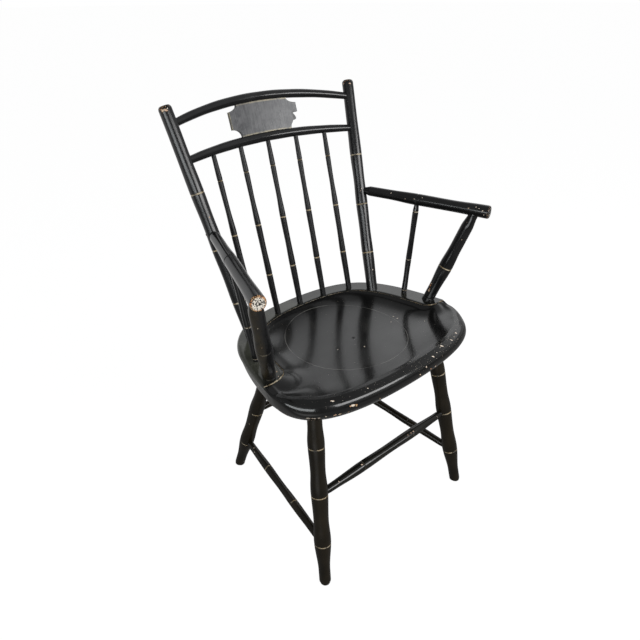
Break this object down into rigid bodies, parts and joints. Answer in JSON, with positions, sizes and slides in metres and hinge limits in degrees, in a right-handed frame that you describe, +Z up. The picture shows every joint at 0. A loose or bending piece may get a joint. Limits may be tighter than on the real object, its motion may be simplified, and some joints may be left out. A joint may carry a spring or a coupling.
{
  "type": "windsor armchair",
  "caption": "Black-painted bamboo-turned Windsor armchair with a saddled plank seat, splayed legs, a bowed rod-and-spindle back with a small notched tablet, and raked arms.",
  "frame": {"origin": "on the floor, under the middle of the chair's bounding box", "axes": "+Z up, the chair faces -Y, +X to the right as seen from the front"},
  "size_m": [0.6118, 0.4596, 0.8767],
  "materials": {
    "black_paint": "semi-gloss paint",
    "brown_black_paint": "worn semi-gloss paint",
    "seat_paint": "satin paint",
    "tablet_paint": "rubbed satin paint",
    "peg_paint": "painted end grain"
  },
  "bodies": {
    "root": {"seat": "seat_paint", "leg_front_left": "brown_black_paint", "leg_front_right": "brown_black_paint", "leg_rear_left": "brown_black_paint", "leg_rear_right": "brown_black_paint", "stretcher_front": "brown_black_paint", "stretcher_rear": "brown_black_paint", "stretcher_left": "brown_black_paint", "stretcher_right": "brown_black_paint", "back_post_left": "black_paint", "back_post_right": "black_paint", "upper_rod": "black_paint", "lower_rod": "black_paint", "tablet": "tablet_paint", "spindle_1": "black_paint", "spindle_2": "black_paint", "spindle_3": "black_paint", "spindle_4": "black_paint", "spindle_5": "black_paint", "arm_left": "black_paint", "arm_right": "black_paint", "arm_post_left": "black_paint", "arm_post_right": "black_paint", "arm_spindle_left": "black_paint", "arm_spindle_right": "black_paint", "upper_rod_peg_left": "peg_paint", "upper_rod_peg_right": "peg_paint", "lower_rod_peg_left": "peg_paint", "lower_rod_peg_right": "peg_paint", "arm_peg_left": "peg_paint", "arm_peg_right": "peg_paint"}
  },
  "joints": []
}
